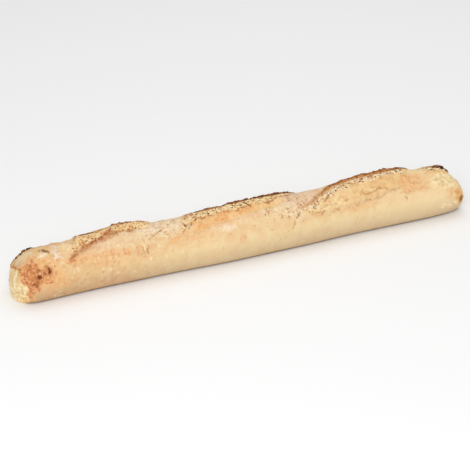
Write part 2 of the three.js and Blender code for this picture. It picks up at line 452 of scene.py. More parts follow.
def streak(knots, width, stray=1.2, size=0.005):
    """1 along a line of (millimetres, degrees) knots, and 0 half a width away from it."""
    line = np.array([(d, a * ARC / MILLI) for d, a in knots])
    unrolled = np.stack([distance / MILLI, angle * ARC / MILLI], axis=1)
    low, high = line.min(axis=0) - STREAK_LIMIT, line.max(axis=0) + STREAK_LIMIT
    near = np.flatnonzero(np.all((unrolled > low) & (unrolled < high), axis=1))
    strays = np.array([noise.noise_vector(Vector(p) / size)[:2] for p in plain[near]])
    here = unrolled[near] + stray * strays
    away = np.full(len(near), np.inf)
    for start, end in zip(line, line[1:]):
        run = end - start
        passed = np.clip((here - start) @ run / (run @ run), 0, 1)
        away = np.minimum(away, np.linalg.norm(here - start - passed[:, None] * run, axis=1))
    shown = np.zeros(len(angle))
    shown[near] = 1 - smooth_step(away, 0, width / 2)
    return shown


def strongest(*marks):
    return np.maximum.reduce(marks)


def patches(places):
    """Several patches. Each place is a strength, and then what patch takes."""
    return strongest(*(strength * patch(*where) for strength, *where in places))


def streaks(lines, width, stray=1.2):
    """Several streaks of one width. Each line is a strength and its knots."""
    return strongest(*(strength * streak(knots, width, stray) for strength, knots in lines))


print(np.count_nonzero(patch(250, 70, 20, 20) > 0.5), "vertices in a patch of 20 mm")

# %% [markdown]
# ## Torn dough
# The open band is where gas tore the dough: bubbles swell into pebbles with creases between them,
# some burst into pores, and strands stretch from the lip towards the ear. A displacement texture in
# the material would only fake it, and the edges would stay smooth. Here noise moves the vertices along
# their normals. On the bridges of skin between two cuts, the tearing fades out in ragged patches.

# %% Where each band shows, and how it changes from lip to ear
FRAY = 0.7  # how far the start of a band strays, as a share of opens
CLOSED_FROM = 0.90  # share of a cut's length from which the band fades
GRAINS_END = 0.88  # and from which its grains do
GRAIN_STRAY = 0.10  # how far the edge of the grains strays, as a share of the band
GRAIN_BEFORE, GRAIN_AFTER = 0.06, 0.12  # shares of the band, round that edge, where they begin
SEAM_WIDTH = 0.0012  # half the width of the crease where smooth dough turns grainy
BROWN_END = (0.45, 0.80)  # shares of the length over which the toasted dough ends
SCORCH_EDGE = 0.14  # share of the band over which the ear browns
SCORCH_BACK = 0.0022  # width of the brown edge on the far side of a crest
DARK_BACK = 0.0016  # and of the burnt line there
LIP_START, LIP_END = 0.04, 0.75  # shares of the length between which a lip's line is in full

torn, grainy, scorch, crest, browned, dusty, lip_edge, seam, burst = blank(9)
edge_cloud = cloud(plain + 8, 0.008)
for cut in opened:
    finish, along, across = cut["finish"], cut["along"], cut["across"]
    inside, behind, dry = cut["inside"], cut["behind"], cut["dry"]
    frayed = along + FRAY * finish["opens"] * edge_cloud
    shown = smooth_step(frayed, 0, finish["opens"]) * (1 - smooth_step(along, CLOSED_FROM, 1))
    torn = np.where(inside, shown, torn)
    grain_edge = finish["grain_from"] + GRAIN_STRAY * edge_cloud
    grains = smooth_step(across, grain_edge - GRAIN_BEFORE, grain_edge + GRAIN_AFTER)
    grainy = np.where(inside, (1 - smooth_step(along, GRAINS_END, 1)) * grains, grainy)
    near_seam = bell((across - grain_edge) * cut["width"], SEAM_WIDTH)
    seam = np.where(inside, finish["seam"] * shown * near_seam, seam)
    burst = np.where(inside, finish["burst"], burst)
    browned = np.where(inside, finish["browned"] * (1 - smooth_step(along, *BROWN_END)), browned)
    dusty = np.where(inside, finish["dusty"], dusty)
    to_crest = smooth_step(across, finish["scorch_from"], finish["scorch_from"] + SCORCH_EDGE)
    over_crest = np.where(behind < 0, to_crest * inside, bell(behind, SCORCH_BACK))
    scorch = strongest(scorch, np.sqrt(dry) * over_crest)
    dark_depth = np.where(behind < 0, finish["dark"], DARK_BACK)
    crest = strongest(crest, dry * bell(behind, dark_depth))
    lip_shown = smooth_step(along, 0, LIP_START) * (1 - smooth_step(along, LIP_END, CLOSED_FROM))
    near_lip = bell(cut["inward"], finish["lip_width"])
    lip_edge = strongest(lip_edge, lip_shown * finish["lip_brown"] * near_lip)
seam *= smooth_step(cloud(plain + 15, 0.0045, 2), -0.30, 0.10)
print(f"{np.mean(torn > 0):.0%} of the vertices lie in open cuts")

# %% Torn dough that strays on to the bridges
STRAYS = [
    (0.45, 142, 58, 9, 16, 0.9),
    (0.50, 157, 29, 28, 9, 0.9),
    (0.45, 178, 6, 36, 32, 0.9, 0.008),
    (0.50, 289, 32, 26, 8, 0.9),
    (0.50, 320, 38, 30, 13, 0.9, 0.008),
    (0.50, 332, 8, 26, 24, 1.2),
]
STRAY_DUST = 0.8
STRAY_BURST = 0.06

strays = patches(STRAYS)
grainy = strongest(grainy, strays > 0)
dusty = strongest(dusty, STRAY_DUST * (strays > torn))
burst = strongest(burst, STRAY_BURST * (strays > torn))
torn = strongest(torn, strays)
print(np.count_nonzero(strays > 0.3), "vertices of torn dough on the bridges")

# %% Pebbles, pores and strands of the open bands
COARSE = 0.0056  # size of a pebble
FINE = 0.0026
COARSE_HEIGHT = 0.0008
FINE_HEIGHT = 0.0005
PORE_DEPTH = 0.0016
STRAND_LENGTH = 0.013
STRAND_WIDTH = 0.0028
STRAND_HEIGHT = 0.0005
SWIRL_SIZE = 0.0065
SWIRL_HEIGHTS = (0.0003, 0.0008)  # on smooth dough, and on grains
SEAM_DEPTH = 0.0006

open_verts = np.flatnonzero(torn > 0)
at = stirred(plain[open_verts], 0.006, 0.0020)
coarse, coarse_chance, fine, fine_chance, strands, swirls = blank(6)
coarse[open_verts], coarse_chance[open_verts] = pebbles(at, COARSE)
fine[open_verts], fine_chance[open_verts] = pebbles(at + 1, FINE)
swirls[open_verts] = cloud(at + 2, SWIRL_SIZE)
along_strand = np.stack([distance / STRAND_WIDTH, strand / STRAND_LENGTH, 0 * place], axis=1)
strands[open_verts] = cloud(along_strand[open_verts], 1, 2)
pores = smooth_step(fine_chance + burst, 0.98, 1.02) * smooth_step(fine, 0.1, 0.7)
to_ear = 1 - 0.75 * smooth_step(place, 0.66, 0.84) - 0.25 * smooth_step(place, 0.90, 0.98)
granular = torn * grainy * (1 - 0.75 * smooth_step(scorch, 0, 0.6))
smooth_band = torn * (1 - grainy) * smooth_step(place, 0, 0.16)
bumps = COARSE_HEIGHT * coarse * (0.35 + 0.65 * coarse_chance) + FINE_HEIGHT * fine
dough = granular * to_ear * (bumps - PORE_DEPTH * pores)
dough += torn * to_ear * (STRAND_HEIGHT * strands + mix(*SWIRL_HEIGHTS, grainy) * swirls)
dough -= SEAM_DEPTH * seam
print(f"Torn dough stands from {dough.min() * 1000:.1f} to {dough.max() * 1000:.1f} mm off the band")

# %% [markdown]
# ## The skin
# Outside the cuts the skin is drawn tight, but not like plastic: it is faintly leathery, dotted with
# small blisters where gas sat just under it. A kd-tree finds the vertices under each blister quickly.

# %% Leathery skin
LEATHER = 0.00014  # height of its slow swellings
LEATHER_GRAIN = 0.00007

skin = (1 - torn) * (LEATHER * cloud(plain, 0.009) + LEATHER_GRAIN * cloud(plain + 3, 0.0022, 2))
print(f"Skin relief up to {skin.max() * 1000:.2f} mm")

# %% Blisters
BLISTERS = 460
BLISTER_SIDE = 120  # degrees from the crown up to which there are blisters
BLISTER_RADIUS = (0.0010, 0.0024)
BLISTER_HEIGHT = 0.34  # of its radius
BLISTER_STRENGTH = (0.2, 1.0)  # how pale a blister is
BLISTER_RAGGED = 0.9  # how far its outline strays from a circle
BLISTER_GRAIN = 0.0014
BLISTERS_FADE = (0.13, 0.22)  # distances between which they lose most of their paleness
LARGE_RADIUS = 0.0026
LARGE_BLISTERS = [(85, 62), (102, 60), (103, 36), (114, 37), (52, 66), (66, 72), (130, 44)]
BLISTER_SEED = 7

draw = random.Random(BLISTER_SEED)
finder = kdtree.KDTree(len(points))
for index, point in enumerate(points):
    finder.insert(point, index)
finder.balance()


def vertex_at(at_distance, at_angle):
    """The vertex nearest to a place, in millimetres from the left heel and degrees from the crown."""
    return np.argmin(np.hypot(distance - at_distance * MILLI, (angle - at_angle) * ARC))


blister, blister_tone = blank(2)
skin_verts = np.flatnonzero((torn == 0) & (np.abs(angle) < BLISTER_SIDE))
blisters = [(points[draw.choice(skin_verts)], draw.uniform(*BLISTER_RADIUS)) for _ in range(BLISTERS)]
blisters += [(points[vertex_at(*where)], LARGE_RADIUS) for where in LARGE_BLISTERS]
for centre, radius in blisters:
    strength = draw.uniform(*BLISTER_STRENGTH)
    for co, index, away in finder.find_range(centre, radius):
        ragged_radius = radius * (1 + BLISTER_RAGGED * noise.noise(co / BLISTER_GRAIN))
        dome = max(0, 1 - (away / ragged_radius) ** 2)
        blister[index] = max(blister[index], BLISTER_HEIGHT * radius * dome)
        blister_tone[index] = max(blister_tone[index], strength * dome)
blister *= torn == 0
blister_tone *= (torn == 0) * (1 - 0.9 * smooth_step(distance, *BLISTERS_FADE))
print(np.count_nonzero(blister), "vertices lie on blisters")

# %% [markdown]
# ## The heels
# The left heel touched its neighbour in the oven. Where they parted, the crust tore off and left a
# pale, soft face behind a scalloped ledge, and beside it the skin burst into a rough brown patch. A
# thin scorched fold runs over the top of the heel, with a notch behind it. The right heel ends in a
# burnt flap on its last small cut, with a browned spot on the tip. Painting all this on a smooth heel
# would leave its outline too clean. So each is a mark, a value at every vertex, that first shapes the
# crust and later colours it, and so are the red knot in the first cut and the end of the second ear.

# %% Marks of the left heel
PALE_REACH = [  # degrees from the crown, and millimetres from the tip that the pale face reaches
    (-180, 12), (-110, 10), (-60, 6), (-30, 4), (0, 4), (23, 6), (47, 7), (72, 7), (87, 10), (116, 11),
    (180, 12),
]
PALE_EDGE = 0.4 * MILLI  # half the width of its edge
BROWN_PATCHES = [(1.0, 16, 62, 22, 38, 0.45, 0.008), (0.85, 32, 66, 18, 17, 0.9)]
ROUGH_PITS = [
    (0.6, 17, 84, 5, 4, 1.0, 0.003),
    (1.0, 23, 67, 4, 6, 1.0, 0.003),
    (0.6, 24, 50, 4, 3, 1.0, 0.003),
    (0.5, 29, 62, 4, 3, 1.0, 0.003),
    (1.0, 35, 59, 3.4, 6, 1.0, 0.003),
]

pale_reach = np.interp(angle, *zip(*PALE_REACH)) * MILLI * (1 + 0.45 * cloud(plain + 5, 0.007, 2))
pale = 1 - smooth_step(distance, pale_reach - PALE_EDGE, pale_reach + PALE_EDGE)
ledge_width = np.interp(angle, [60, 100], [1.2, 2.4]) * MILLI
ledge = bell(distance - pale_reach - ledge_width, ledge_width) * (1 - pale)
# Near the crown the ledge is browned further as painted shade under its overhang.
ledge_shade = ledge * smooth_step(angle, -40, -15) * (1 - smooth_step(angle, 25, 45))
brown_patch = patches(BROWN_PATCHES) * (1 - pale)
rough_pits = patches(ROUGH_PITS)
heel_fold = streak([(7, -42), (13, -36), (19, -31), (25, -28), (31, -24)], 5.4, 0.7)
# The notch is sunk into the crust, and its dark colour is painted shadow.
heel_notch = strongest(streak([(32, 0), (36, 5), (41, 15)], 4.2), streak([(36, -2), (38, 6)], 3.0))
heel_flake = patch(33, 20, 13, 6)
print(np.count_nonzero(pale > 0.5), "pale vertices,", np.count_nonzero(brown_patch > 0.5), "brown ones")

# %% Marks of the first two cuts
red_knot = strongest(
    streak([(96, 17), (100, 12), (104, 5), (109, -4), (114, -12)], 11, 2.5),
    0.65 * patch(102, 14, 22, 6, 0.8),
)
red_lip = 0.5 * streak([(60, 49), (67, 41), (75, 34), (84, 28), (92, 22), (99, 17)], 9, 2.0)
red_marks = strongest(red_knot, red_lip)
ear_end = streak([(312, -34), (324, -33), (337, -31)], 4.4, 0.8)
print(np.count_nonzero(red_marks > 0.3), "vertices are red in the first cut")

# %% Marks of the right heel
FLAP_EDGE = [(-24, 523), (-12, 526.5), (4, 526.5), (24, 521)]  # degrees, and millimetres along the loaf
FLAP_LIFT, FLAP_DROP = 1.0, 0.6  # how far the flap stands out, and the crust beyond its edge sinks
RIM_BACK, RIM_WIDTH = 0.0022, 0.0034  # how far inside the edge the burnt rim lies, and its width

flap_edge = np.interp(angle, *zip(*FLAP_EDGE)) * MILLI
flap_edge += 0.0012 * cloud(plain + 16, 0.006, 2)
flap_shown = smooth_step(distance, 0.506, 0.522) * (1 - smooth_step(np.abs(angle + 3), 17, 26))
on_flap = smooth_step(flap_edge - distance, -0.0006, 0.0004)
flap = flap_shown * ((FLAP_LIFT + FLAP_DROP) * on_flap - FLAP_DROP)
flap_rim = flap_shown * bell(distance - flap_edge + RIM_BACK, RIM_WIDTH) * (flap > 0)
flap_line = streak([(492, -15), (503, -14), (512, -13), (520, -11)], 2.8)
burnt_spot = strongest(
    flap_rim * (1 - smooth_step(np.abs(angle + 5), 8, 22)), 0.8 * flap_line, patch(519, -5, 12, 8, 0.5)
)
heel_blobs = patches([(1, 507, 102, 10, 5), (1, 516, 104, 8, 5), (1, 523, 99, 7, 6)])
tip_spot = patches([(1, 530, 94, 8, 12, 0.6), (0.5, 526, 72, 5, 6, 0.6)])
tip_toast = patches([(1, 527, 82, 12, 26, 0.5), (0.6, 517, 68, 8, 10, 0.6)])
print(np.count_nonzero(burnt_spot > 0.5), "burnt vertices")

# %% Relief of the marks
SCAB_SIZE = 0.0034
SCAB_HEIGHT = 0.0008
SCAB_SUNK = 0.0003
PIT_DEPTH = 0.0020
PALE_DEPTHS = (0.0006, 0.0020)  # at 50 and at 90 degrees from the crown
LUMP_HEIGHT = 0.0008  # slow lumps in the brown patch and in the pale face
STANDS = [  # millimetres that each mark stands off the crust, or lies below it
    (ledge, 1.0), (heel_fold, 1.0), (heel_notch, -1.2), (heel_flake, 0.6), (red_knot, 1.2),
    (ear_end, 1.0), (flap, 1.3), (heel_blobs, 0.6),
]
SWELLINGS = [  # millimetres that the crust swells or sinks, and the patch where it does
    (-1.2, 52, -24, 30, 26, 0.3),
    (-1.6, 67, -26, 20, 28, 0.3),
    (-1.2, 98, -26, 44, 34, 0.3),
    (-0.8, 440, -28, 34, 16, 0.2),
    (1.2, 474, -25, 26, 16, 0.2),
    (-0.6, 520, -8, 24, 24, 0.2),
]

heel_verts = np.flatnonzero((pale > 0) | (brown_patch > 0))
scab, scab_chance = blank(2)
scab_at = stirred(plain[heel_verts], 0.005, 0.0018)
scab[heel_verts], scab_chance[heel_verts] = pebbles(scab_at, SCAB_SIZE)
scab_pits = strongest(brown_patch * scab * 0.7 * smooth_step(scab_chance, 0.86, 0.90), rough_pits)
mark_relief = brown_patch * (SCAB_HEIGHT * scab * (0.3 + 0.7 * scab_chance) - SCAB_SUNK)
mark_relief += brown_patch * LUMP_HEIGHT * cloud(plain + 7, 0.007) - PIT_DEPTH * scab_pits
mark_relief += pale * LUMP_HEIGHT * cloud(plain + 6, 0.006)
mark_relief -= pale * np.interp(angle, [50, 90], PALE_DEPTHS)
mark_relief += MILLI * sum(height * mark for mark, height in STANDS)
mark_relief += MILLI * sum(height * patch(*where) for height, *where in SWELLINGS)
print(f"Marks stand from {mark_relief.min() * 1000:.1f} to {mark_relief.max() * 1000:.1f} mm")

# %% [markdown]
# ## Cracks
# Where one cut ends and the next begins, the bridge of skin is pulled both ways and cracks. Each crack
# is a strength and a few knots. The list holds those of the near side, and the far side has its like,
# shifted along the loaf and turned over the crown. Smooth dough in the third cut and beyond it only
# folded, and has wrinkles.

# %% Cracks in the skin
CRACKS = [
    (1.0, [(147, 40), (151, 35), (156, 31), (161, 25), (165, 20), (170, 16)]),
    (1.0, [(144, 47), (146, 56), (143, 64), (138, 73)]),
    (0.9, [(151, 24), (157, 29), (156, 37)]),
    (1.0, [(313, 78), (316, 70), (317, 60), (323, 52), (326, 46)]),
    (0.8, [(340, 50), (344, 56), (350, 53)]),
    (0.9, [(457, 60), (459, 67), (457, 72)]),
    (0.4, [(477, -6), (470, 22), (467, 46), (459, 60)]),
    (0.6, [(70, 55), (76, 50), (78, 54)]),
    (0.8, [(306, 34), (311, 30), (316, 33)]),
    (0.5, [(500, 46), (507, 50), (515, 49)]),
]
WRINKLES = [
    (1.0, [(384, 43), (390, 38), (398, 40), (407, 33), (417, 36), (428, 29), (440, 34)]),
    (0.8, [(396, 26), (406, 29), (416, 24), (428, 27), (438, 22)]),
    (0.7, [(425, 42), (440, 38), (452, 41)]),
    (0.6, [(352, 48), (362, 42), (374, 45), (386, 38)]),
    (0.7, [(462, 28), (474, 33), (486, 39), (498, 35), (510, 41)]),
    (0.5, [(452, 50), (466, 53), (480, 49), (492, 53)]),
]
CRACK_WIDTH = 2.1
CRACK_DEPTH = 0.0006
WRINKLE_WIDTH = 3.6
WRINKLE_STRAY = 2.0
WRINKLE_DEPTH = 0.0007
FAR_CRACKS = 6  # how many of the cracks have their like on the far side
FAR_SHIFT = 24
FAR_TURN = -22

far_cracks = [
    (strength, [(d + FAR_SHIFT, FAR_TURN - a) for d, a in knots])
    for strength, knots in CRACKS[:FAR_CRACKS]
]
cracks = streaks(CRACKS + far_cracks, CRACK_WIDTH)
cracks *= smooth_step(cloud(plain + 12, 0.0035, 2), -0.35, 0.05)
wrinkles = streaks(WRINKLES, WRINKLE_WIDTH, WRINKLE_STRAY)
wrinkles *= smooth_step(cloud(plain + 14, 0.010, 2), -0.5, 0.1)
print(len(CRACKS + far_cracks), "cracks over", np.count_nonzero(cracks > 0.3), "vertices")

# %% Move the vertices along their normals
BASE_CLEAR = (0.0005, 0.004)  # heights between which the base's own form gives way to the relief


def add_piece(name, shape):
    """An object made from a bmesh, which isn't needed any more."""
    mesh = bpy.data.meshes.new(name)
    shape.to_mesh(mesh)
    shape.free()
    piece = bpy.data.objects.new(name, mesh)
    bpy.context.collection.objects.link(piece)
    return piece


normals = np.array([vert.normal for vert in ball.verts])
fine_relief = dough + skin + blister + mark_relief - CRACK_DEPTH * cracks - WRINKLE_DEPTH * wrinkles
fine_relief *= smooth_step(points[:, 2], *BASE_CLEAR)
points = points + normals * fine_relief[:, None]
points[:, 2] = np.maximum(points[:, 2], 0)
move_vertices(ball, points)

loaf_crust = add_piece("loaf_crust", ball)
loaf_mesh = loaf_crust.data
loaf_mesh.polygons.foreach_set("use_smooth", [True] * len(loaf_mesh.polygons))
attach(loaf_crust, "root")
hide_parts("loaf")
print("loaf_crust has", sum(len(p.vertices) - 2 for p in loaf_mesh.polygons), "triangles")

# %% [markdown]
# ## What the oven and the flour did, and painted light and shade
# A baker reads a loaf by colour: pale gold where the skin stayed soft, orange where it browned, dark
# brown on dry edges, floury where the cloth dusted it. Each is a mask on the vertices. Stored as an
# attribute, a mask moves with the mesh, and the material only has to decide what it looks like. A few
# masks also paint light and shade: highlights on the grains, shade in creases, grooves, pits, the
# heel's notch and under its ledge, and shade on the lower side and along the base.

# %% Flour
BRIDGES = [(1.0, 164, -8, 56, 42, 0.4, 0.012), (0.5, 331, 8, 50, 50, 0.4, 0.012)]
FLOUR_SPOT = [(0.8, 237, 47, 18, 7, 0.9, 0.004)]
CROWN_FLOUR = 0.35

skin_only = 1 - smooth_step(torn, 0, 0.6) * np.where(strays > 0, 0.4, 1)
on_crown = 1 - smooth_step(np.abs(angle + 2), 24, 60)
on_crown *= smooth_step(distance, 0.045, 0.065) * (1 - smooth_step(distance, 0.40, 0.46))
bridges = patches(BRIDGES)
dusted = strongest(bridges, CROWN_FLOUR * on_crown, patches(FLOUR_SPOT), heel_flake)
flour = dusted * skin_only * (1 - 0.85 * scorch) * (1 - red_marks)
print(np.count_nonzero(flour > 0.3), "floury vertices")

# %% Toasted places
TOASTED = [
    (0.15, 24, 8, 26, 24, 0.6, 0.010),
    (0.50, 24, 58, 44, 46, 0.6, 0.012),
    (0.60, 38, 86, 44, 16, 0.6, 0.010),
    (0.30, 54, 8, 30, 26, 0.6, 0.010),
    (0.55, 72, 52, 34, 10, 0.6, 0.010),
    (0.35, 98, 58, 44, 22, 0.6, 0.015),
    (0.60, 121, 58, 10, 9, 0.6),
    (0.45, 205, 52, 50, 8, 0.8, 0.010),
    (0.35, 400, 62, 80, 8, 0.6, 0.012),
    (0.60, 474, 32, 50, 26, 0.5, 0.014),
    (0.35, 522, 72, 26, 26, 0.6),
]

toast_noise = smooth_step(cloud(plain + 13, 0.015, 3), -0.16, 0.16)
under_lip = streak([(176, 52), (186, 44), (196, 38), (208, 33)], 13, 2.5)
along_lip = streak([(228, 34), (250, 33), (264, 32), (279, 30), (293, 31)], 10, 2.5)
toast = strongest(
    patches(TOASTED),
    smooth_band * browned * mix(0.35, 1, toast_noise),
    0.9 * under_lip * mix(0.3, 1, toast_noise),
    0.6 * along_lip * mix(0.5, 1, toast_noise),
    0.22 * granular * (1 - smooth_step(distance, 0.150, 0.170)),
    0.9 * ledge,
    0.9 * tip_toast,
)
print(np.count_nonzero(toast > 0.3), "toasted vertices")

# %% Dark edges, brown lines and painted shade in grooves and the heel's notch
EAR_FADES = [  # where the dark edge of an ear is weaker
    (0.4, 126, -33, 60, 20, 0.9),
    (0.9, 158, -32, 30, 18, 0.5),
    (0.6, 346, 16, 48, 40, 0.5),
]

lip_noise = smooth_step(cloud(plain + 10, 0.009, 3), -0.28, 0.28)
char_noise = smooth_step(cloud(plain + 11, 0.010, 3), -0.50, 0.20)
ear_fade = patches(EAR_FADES)
dark_edge = crest * mix(0.75, 1, char_noise) * (1 - ear_fade)
tip_char = 0.6 * patch(531, 97, 5, 8, 0.6)
# Burnt ears, fold, flap and tip, and painted shadow in the heel's notch.
char_and_notch_shade = strongest(dark_edge, burnt_spot, heel_fold, heel_notch, ear_end, tip_char)
brown_ear = scorch * mix(0.6, 1, smooth_step(distance, 0.15, 0.18)) * (1 - 0.6 * ear_fade)
# The low ground between the fine pebbles, which the colours darken as painted shade.
creases = (1 - smooth_step(fine, 0, 0.3)) * smooth_step(cloud(plain + 18, 0.0035, 2), -0.25, 0.15)
# Brown along the lips is browned crust. In cracks, wrinkles, the seam and the creases of the torn dough
# and of the brown patch, the brown is painted shade.
brown_lines_and_groove_shade = strongest(
    lip_edge * mix(0.1, 1, lip_noise),
    cracks,
    0.55 * wrinkles,
    seam,
    1.1 * strays * creases * lip_noise,
    0.75 * brown_patch * (1 - smooth_step(scab, 0, 0.5)),
)
print(np.count_nonzero(char_and_notch_shade > 0.5), "vertices on dark edges")

# %% Pale, chalky and scabbed places
in_third = opened[2]["inside"]
soft_dough = 0.65 * smooth_band * in_third * (1 - smooth_step(distance, 0.365, 0.41))
pale_places = patches([
    (0.4, 17, -8, 20, 16, 0.5),
    (0.5, 60, 12, 14, 16),
    (0.4, 412, 33, 36, 8, 0.6),
    (0.7, 512, 40, 40, 18, 0.6),
    (1.0, 515, 25, 24, 11, 0.5),
    (0.5, 526, 14, 20, 24, 0.5),
])
bridge_chalk = 0.35 * patch(331, 8, 46, 44, 0.6) * ~in_third
chalk_places = patches([(0.5, 15, -6, 20, 16, 0.5), (1.0, 47.5, 18, 11, 24, 0.9, 0.004)])
bridge_scab = patches([(0.40, 334, 10, 40, 38, 0.8), (0.45, 354, -6, 30, 34, 0.8)]) * ~in_third
scab_places = patches([(0.7, 106, 48, 5, 5), (0.6, 121, 59, 6, 6), (0.35, 253, 77, 10, 14, 0.3)])
print(np.count_nonzero(pale_places > 0.3), "pale vertices beside the pale face")

# %% Store the masks
# Crumb tone rises on tall pebbles, a painted highlight, and drops in creases and pores, painted shade;
# the rest varies at random.
crumb_tone_and_shading = 0.40 + 0.25 * coarse * coarse_chance + 0.35 * fine_chance - 0.45 * creases + 0.25 * strands
side = np.abs(angle)
masks = dict(
    granular=granular,
    smooth_band=smooth_band,
    crumb_tone_and_shading=np.clip(crumb_tone_and_shading - 0.9 * pores, 0, 1),
    toast=toast,
    dusty=dusty * granular,
    # Browned ears and spots, and painted shade on the left heel's ledge.
    scorch=strongest(brown_ear, tip_spot, ledge_shade, 0.4 * patch(4, 92, 5, 11, 0.9, 0.003)),
    char_and_notch_shade=char_and_notch_shade,
    burnt=burnt_spot,
    brown_lines_and_groove_shade=brown_lines_and_groove_shade,
    flour=flour,
    chalk=strongest(chalk_places, bridge_chalk),
    pale=strongest(pale, soft_dough, pale_places, 0.9 * heel_blobs),
    scab=strongest(brown_patch, scab_places, bridge_scab),
    knot=red_marks,
    blister=blister_tone,
    # Pores in the torn dough and pits in the brown patch, painted dark brown as shade.
    pit_shade=strongest(pores * granular, scab_pits),
    # Greyer and darker on the lower side and on one spot of the left heel: painted shade, with some of
    # the underside's greyer crust.
    lower_side_shade=strongest(smooth_step(side, 70, 125), patch(15, -6, 22, 18, 0.5)),
    low_side=smooth_step(side, 62, 84) * mix(0.1, 0.35, smooth_step(distance, 0.10, 0.17)),
    # The lowest few millimetres: a browned base, darkened further as painted contact shadow along the
    # bottom edge.
    under=1 - smooth_step(points[:, 2], 0.0010, 0.0035),
)
for name, values in masks.items():
    attribute = loaf_mesh.attributes.new(name, "FLOAT", "POINT")
    attribute.data.foreach_set("value", np.clip(values, 0, 1).astype(np.float32))
print("Masks:", {name: round(float(values.mean()), 3) for name, values in masks.items()})

# %% [markdown]
# ## Flakes and crumbs
# An ear dries until its edge splits into flakes, and small ones stick up along the crest. Only the
# third ear stayed whole. Crumbs lie in the torn dough and on the floury bridges, and larger specks
# along the crease of the third cut. Each is a tiny ball with its points pulled about. A flake is
# pressed flat and set on its edge, and a crumb lies as it fell. They share one mesh, because
# hundreds of objects would be slow to handle and are one kind of thing.

# %% Flakes and crumbs of crust
FLAKES = 110
FLAKE_SIZES = [(0.0016, 0.0044), (0.0003, 0.0006), (0.0006, 0.0013)]  # length, thickness, height
FLAKE_TURN = 35  # degrees that a flake strays from the line of the crest
FOLD_FLAKES = [(11, -30), (16, -28), (20, -30), (24, -31), (28, -33)]  # on the left heel's fold
FOLD_SIZES = [(0.0045, 0.0060), (0.0008, 0.0012), (0.0026, 0.0040)]
CRUMBS = 220
BRIDGE_CRUMBS = 30
CRUMB_SIZES = [(0.0007, 0.0017), (0.0006, 0.0013), (0.0005, 0.0010)]
CRUMB_TURN = 180
SPECKS = 64
SPECKS_FROM = 0.366  # distance from which there are specks in the crease
SPECK_SIZES = [(0.0014, 0.0032), (0.0012, 0.0022), (0.0009, 0.0015)]
SPECK_TONES = [(0, 0.15), (0.8, 1.1), (0.8, 1.1)]  # one in three is burnt
LUMPY = (0.7, 1.25)  # how far the points of a bit are pulled about
BIT_SEED = 12

draw = random.Random(BIT_SEED)
bits = bmesh.new()
bit_tones = []


def add_bit(index, sizes, most_turn, tones):
    """A small lump of crust on a vertex, turned about its normal and baked dark, 0, to pale, 1."""
    verts = bmesh.ops.create_icosphere(bits, subdivisions=1, radius=0.5)["verts"]
    bit_tones.extend([draw.uniform(*tones)] * len(verts))
    for vert in verts:
        vert.co *= draw.uniform(*LUMPY)
    out = Vector(normals[index])
    along = Vector((1, 0, 0)) - out * out.x
    along.rotate(Matrix.Rotation(math.radians(draw.uniform(-most_turn, most_turn)), 3, out))
    along.normalize()
    lengths = [draw.uniform(*limits) for limits in sizes]
    axes = [axis * length for axis, length in zip((along, out.cross(along), out), lengths)]
    place_bit = Matrix.Translation(Vector(points[index])) @ Matrix(axes).transposed().to_4x4()
    bmesh.ops.transform(bits, matrix=place_bit, verts=verts)


def some(chosen, count):
    """That many vertices, drawn at random from the chosen ones."""
    return draw.sample(list(np.flatnonzero(chosen)), count)


whole_ear = (distance > CUTS[1]["right"]) & (distance < CUTS[3]["left"])
for index in some((crest > 0.75) & ~whole_ear, FLAKES):
    add_bit(index, FLAKE_SIZES, FLAKE_TURN, (0, 0.5))
for index in some(granular > 0.6, CRUMBS):
    add_bit(index, CRUMB_SIZES, CRUMB_TURN, draw.choice(SPECK_TONES))
for index in some((bridges > 0.5) & (torn == 0), BRIDGE_CRUMBS):
    add_bit(index, CRUMB_SIZES, CRUMB_TURN, (0.4, 1))
for index in some((seam > 0.3) & (distance > SPECKS_FROM), SPECKS):
    add_bit(index, SPECK_SIZES, CRUMB_TURN, draw.choice(SPECK_TONES))
for where in FOLD_FLAKES:
    add_bit(vertex_at(*where), FOLD_SIZES, FLAKE_TURN, (0, 0.1))
bmesh.ops.recalc_face_normals(bits, faces=bits.faces)

crust_flakes = add_piece("crust_flakes", bits)
flake_mesh = crust_flakes.data
tone_attribute = flake_mesh.attributes.new("tone", "FLOAT", "POINT")
tone_attribute.data.foreach_set("value", bit_tones)
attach(crust_flakes, "root")
print("Flakes and crumbs have", len(flake_mesh.polygons), "triangles")

# %% [markdown]
# ## Materials
# Bread is matt and full of small change: no two places have the same colour. One Principled BSDF does
# the shading. Everything that varies is mixed from the masks and from noise that reads Object
# coordinates, so it is as fine as a render asks and stays put on the loaf.

# %% Helpers for shader nodes
def srgb(red, green, blue):
    """Colour as a picture shows it, 0 to 255, turned into the linear values that shaders use."""
    shown = [channel / 255 for channel in (red, green, blue)]
    linear = [c / 12.92 if c <= 0.04045 else ((c + 0.055) / 1.055) ** 2.4 for c in shown]
    return (*linear, 1)


def add_node(tree, kind, inputs=(), **settings):
    """A shader node. inputs gives each socket a value or another node's output."""
    node = tree.nodes.new(kind)
    for name, value in settings.items():
        setattr(node, name, value)
    for socket, value in dict(inputs).items():
        if isinstance(value, bpy.types.NodeSocket):
            tree.links.new(value, node.inputs[socket])
        else:
            node.inputs[socket].default_value = value
    return node


def noise_value(tree, where, size, detail=3, roughness=0.55, distortion=0.0):
    inputs = {"Vector": where, "Scale": 1 / size, "Detail": detail, "Roughness": roughness}
    inputs["Distortion"] = distortion
    return add_node(tree, "ShaderNodeTexNoise", inputs).outputs["Fac"]


def ramp(tree, value, start, end, low=0.0, high=1.0):
    """low where value is start, high where it is end, with a soft S between."""
    inputs = {"Value": value, "From Min": start, "From Max": end, "To Min": low, "To Max": high}
    node = add_node(tree, "ShaderNodeMapRange", inputs, interpolation_type="SMOOTHSTEP")
    return node.outputs["Result"]


